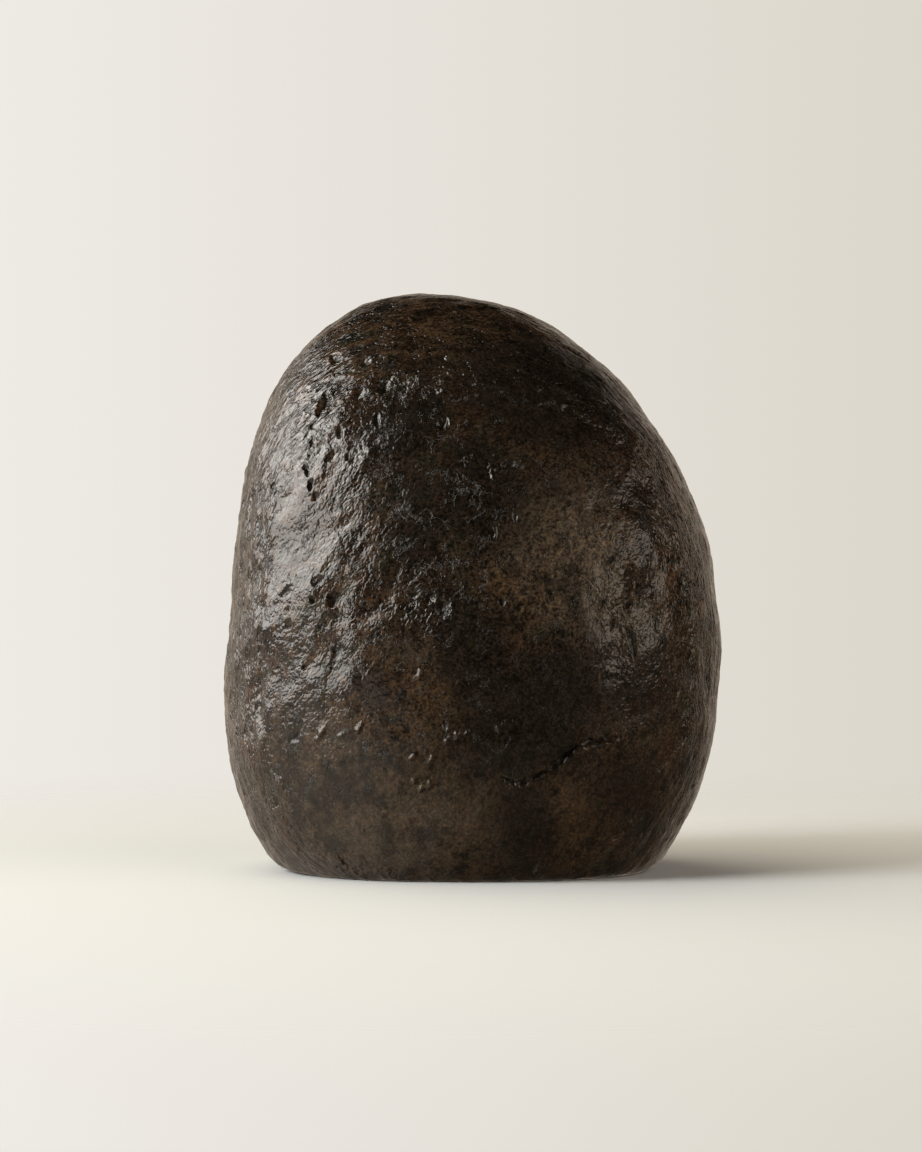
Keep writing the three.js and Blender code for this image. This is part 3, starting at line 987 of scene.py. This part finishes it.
def feature_relief(plain):
    """Height of the wrinkles, vesicles and crack, and how deep each point lies in a cavity."""
    push = np.stack([fractal(plain, *FRAYING, seed) for seed in FRAYING_SEEDS], axis=1)
    ragged = plain + FRAYING_REACH * push
    torn = 1.0 + TEARING_SHARE * fractal(plain, *TEARING)
    relief = np.zeros(len(plain))
    for place, length, width, height in framed(WRINKLES):
        share = np.clip(1 - place.spread(ragged, length, width * WRINKLE_FOOT) * torn, 0, 1)
        relief += WRINKLE_RISE * height * share**WRINKLE_CREST
    cavity = np.zeros(len(plain))
    for place, length, width, depth in framed((*VESICLES, *spiral_vesicles(), *crack_lenses())):
        spread = place.spread(ragged, length, width) * torn
        share = np.clip(1 - spread, 0, 1)
        lip = np.exp(-(((np.sqrt(spread) - LIP_PLACE) / LIP_WIDTH) ** 2))
        cavity = np.maximum(cavity, share)
        relief += LIP_HEIGHT * depth * lip - depth * share * WALL_DEPTH
    return relief, cavity


def shape_skin(mesh, settings):
    """Pushes the net out to the stone's skin and stores what the material needs to know."""
    directions = vertex_places(mesh)
    directions /= np.linalg.norm(directions, axis=1, keepdims=True)
    radii = form_radii(directions)
    plain = CORE + directions * radii[:, None]
    facing = np.abs(directions[:, 1])
    relief = long_relief(plain) + rippled_relief(plain, facing, settings)
    features, cavity = feature_relief(plain)
    relief += features
    radii = smooth_least(radii + relief, floor_reach(directions, 0.0), BASE_EDGE_ROUNDING)
    places = fitted((CORE + directions * radii[:, None]) * MILLIMETRE)
    mesh.vertices.foreach_set("co", places.ravel())
    # The cavity value darkens the colour as painted shade and also dulls the wax.
    store_values(mesh, "cavity", cavity)
    store_values(mesh, "rim", 1 - facing)
    for name in PATCH_NAMES:
        store_values(mesh, name, patch_strength(plain, name))


def fitted(places):
    """Each side drawn in by a hair where the relief stands out of the solid's box."""
    low, high = (np.array(corner) for corner in CAD_BOX)
    draw_in_high = np.minimum(1.0, high / np.maximum(places.max(axis=0), NOTHING))
    draw_in_low = np.minimum(1.0, low / np.minimum(places.min(axis=0), -NOTHING))
    return places * np.where(places > 0, draw_in_high, draw_in_low)


def patch_strength(points, name):
    """How strongly one kind of weathering shows at each point."""
    strength = np.zeros(len(points))
    for kind, place, length, width, turn, amount in PATCHES:
        if kind == name:
            spread = SkinFrame(place, turn).spread(points, length, width)
            strength = np.maximum(strength, amount * np.exp(-spread))
    return strength


def store_values(mesh, name, values):
    """Keeps one number per vertex on the mesh, for the material."""
    attribute = mesh.attributes.new(name, "FLOAT", "POINT")
    attribute.data.foreach_set("value", values.astype(np.float32))


class OBJECT_OT_basalt_stone(bpy.types.Operator):
    """Builds the stone's fine skin in place of its plain solid"""

    bl_idname = "object.basalt_stone"
    bl_label = "Build Stone"

    def execute(self, context):
        settings = context.scene.basalt
        mesh = make_net_mesh(tuple(settings.cells))
        refine_near(mesh, framed((*VESICLES, *WRINKLES, *crack_lenses())))
        shape_skin(mesh, settings)
        mesh.shade_smooth()
        mesh.materials.append(make_basalt(settings))
        stone = bpy.data.objects.new("Stone_skin", mesh)
        context.scene.collection.objects.link(stone)
        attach(stone, "root")
        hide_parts(STONE_NODE)
        triangles = sum(len(face.vertices) - 2 for face in mesh.polygons)
        print("stone:", len(mesh.vertices), "vertices,", triangles, "triangles")
        return {"FINISHED"}


def make_floor(settings):
    """A pale disc that fades out towards its rim, where the backdrop takes over."""
    mesh = bpy.data.meshes.new("Floor")
    disc = bmesh.new()
    radius = settings.floor_radius
    bmesh.ops.create_circle(disc, cap_ends=True, segments=FLOOR_SEGMENTS, radius=radius)
    disc.to_mesh(mesh)
    disc.free()
    material = new_material("Pale floor")
    tree = material.node_tree
    position = add_node(tree, "TexCoord").outputs["Object"]
    away = add_node(tree, "VectorMath", {0: position}, operation="LENGTH").outputs["Value"]
    fade = map_range(tree, away, settings.fade_start, settings.fade_end, smooth=True)
    paper = add_node(tree, "BsdfDiffuse", {"Color": settings.floor_colour})
    clear = add_node(tree, "BsdfTransparent")
    links = {0: fade, 1: paper.outputs[0], 2: clear.outputs[0]}
    mixed = add_node(tree, "MixShader", links)
    add_node(tree, "OutputMaterial", {"Surface": mixed.outputs[0]})
    mesh.materials.append(material)
    floor = bpy.data.objects.new("Floor", mesh)
    floor.visible_glossy = False
    floor.visible_diffuse = False
    bpy.context.scene.collection.objects.link(floor)
    bpy.data.collections.new(FLOOR_COLLECTION).objects.link(floor)


def make_world(settings):
    """A pale backdrop for the camera; for everything else, a dark room with a pale wall behind."""
    world = bpy.data.worlds.new("Studio")
    bpy.context.scene.world = world
    world.use_nodes = True
    tree = world.node_tree
    tree.nodes.clear()
    heading = add_node(tree, "TexCoord").outputs["Generated"]
    split = add_node(tree, "SeparateXYZ", {0: heading})
    across, deep, up = split.outputs
    # Painted light on the backdrop: lighter on the left, on the lamps' side, and darker on the
    # right.
    share = map_range(tree, across, *WALL_BLEND)
    wall = blend_colours(tree, share, settings.left_wall, settings.right_wall)
    backward = calculate(tree, "MULTIPLY_ADD", across, WALL_LEAN, deep)
    behind = map_range(tree, backward, *WALL_EDGE, smooth=True)
    low = map_range(tree, up, *WALL_TOP, 1.0, 0.0, smooth=True)
    wall_share = calculate(tree, "MULTIPLY", behind, low)
    below = map_range(tree, up, *GROUND_LINE, 1.0, 0.0)
    share = map_range(tree, across, *ROOM_BLEND)
    sides = blend_colours(tree, share, settings.left_room, settings.dim_wall)
    room = blend_colours(tree, wall_share, settings.dark_room, sides)
    # The floor in the room is painted light and shadow: lit on the stone's left, in the stone's
    # shadow on its right, and lit again further off behind.
    share = map_range(tree, across, *GROUND_BLEND, smooth=True)
    ground = blend_colours(tree, share, settings.lit_floor, settings.dark_floor)
    distant = map_range(tree, up, *FAR_GROUND_RISE)
    distant = calculate(tree, "MULTIPLY", distant, map_range(tree, deep, *FAR_GROUND_DEPTH))
    ground = blend_colours(tree, distant, ground, sides)
    room = blend_colours(tree, below, room, ground)
    ray = add_node(tree, "LightPath").outputs["Is Camera Ray"]
    seen = blend_colours(tree, ray, room, wall)
    shown = add_node(tree, "Background", {"Color": seen, "Strength": 1.0})
    add_node(tree, "OutputWorld", {"Surface": shown.outputs[0]})


def add_softbox(name, heading, spread, radiance, colour, job):
    """A rectangular lamp of a given surface brightness, facing the stone and itself unseen."""
    target = Vector((0.0, 0.0, 0.5 * HEIGHT * MILLIMETRE))
    lamp = bpy.data.lights.new(name, "AREA")
    lamp.shape = "RECTANGLE"
    lamp.size, lamp.size_y = (2 * LAMP_DISTANCE * math.tan(math.radians(angle)) for angle in spread)
    lamp.energy = radiance * math.pi * lamp.size * lamp.size_y
    lamp.color = colour
    softbox = bpy.data.objects.new(name, lamp)
    away = Vector(compass_direction(-heading[0], heading[1]))
    softbox.location = target + LAMP_DISTANCE * away
    softbox.rotation_euler = (-away).to_track_quat("-Z", "Y").to_euler()
    softbox.visible_camera = False
    softbox.visible_glossy = job == "wax"
    softbox.visible_diffuse = job != "wax"
    if job == "floor":
        softbox.light_linking.receiver_collection = bpy.data.collections[FLOOR_COLLECTION]
    bpy.context.scene.collection.objects.link(softbox)


def make_camera(settings):
    """A level camera in front of the stone."""
    data = bpy.data.cameras.new("Camera")
    data.lens = settings.lens
    data.sensor_width = SENSOR_WIDTH
    camera = bpy.data.objects.new("Camera", data)
    camera.location = (settings.camera_offset, -settings.camera_distance, settings.camera_height)
    camera.rotation_euler = (math.pi / 2, 0.0, 0.0)
    bpy.context.scene.collection.objects.link(camera)
    bpy.context.scene.camera = camera


class OBJECT_OT_basalt_stage(bpy.types.Operator):
    """Builds the floor, the backdrop, the lamps and the camera"""

    bl_idname = "object.basalt_stage"
    bl_label = "Build Stage"

    def execute(self, context):
        settings = context.scene.basalt_stage
        make_floor(settings)
        make_world(settings)
        make_camera(settings)
        for lamp in SOFTBOXES:
            add_softbox(*lamp)
        context.scene.view_settings.view_transform = "Standard"
        return {"FINISHED"}


class VIEW3D_PT_basalt(bpy.types.Panel):
    """Lists the steps and settings of the pillow basalt"""

    bl_label = "Pillow Basalt"
    bl_space_type = "VIEW_3D"
    bl_region_type = "UI"
    bl_category = "Basalt"

    def draw(self, context):
        for settings, operator in (
            (context.scene.basalt, OBJECT_OT_basalt_stone),
            (context.scene.basalt_stage, OBJECT_OT_basalt_stage),
        ):
            self.layout.operator(operator.bl_idname)
            for name in settings.__annotations__:
                self.layout.prop(settings, name)


CLASSES = (
    BasaltSettings,
    StageSettings,
    OBJECT_OT_basalt_stone,
    OBJECT_OT_basalt_stage,
    VIEW3D_PT_basalt,
)


def register():
    """Makes the classes and settings known to Blender."""
    for item in CLASSES:
        bpy.utils.register_class(item)
    bpy.types.Scene.basalt = PointerProperty(type=BasaltSettings)
    bpy.types.Scene.basalt_stage = PointerProperty(type=StageSettings)


def unregister():
    """Takes the classes and settings away again."""
    del bpy.types.Scene.basalt_stage
    del bpy.types.Scene.basalt
    for item in reversed(CLASSES):
        bpy.utils.unregister_class(item)


def main():
    """Builds everything in order."""
    register()
    bpy.ops.object.basalt_stone()
    bpy.ops.object.basalt_stage()


if __name__ == "__main__":
    main()
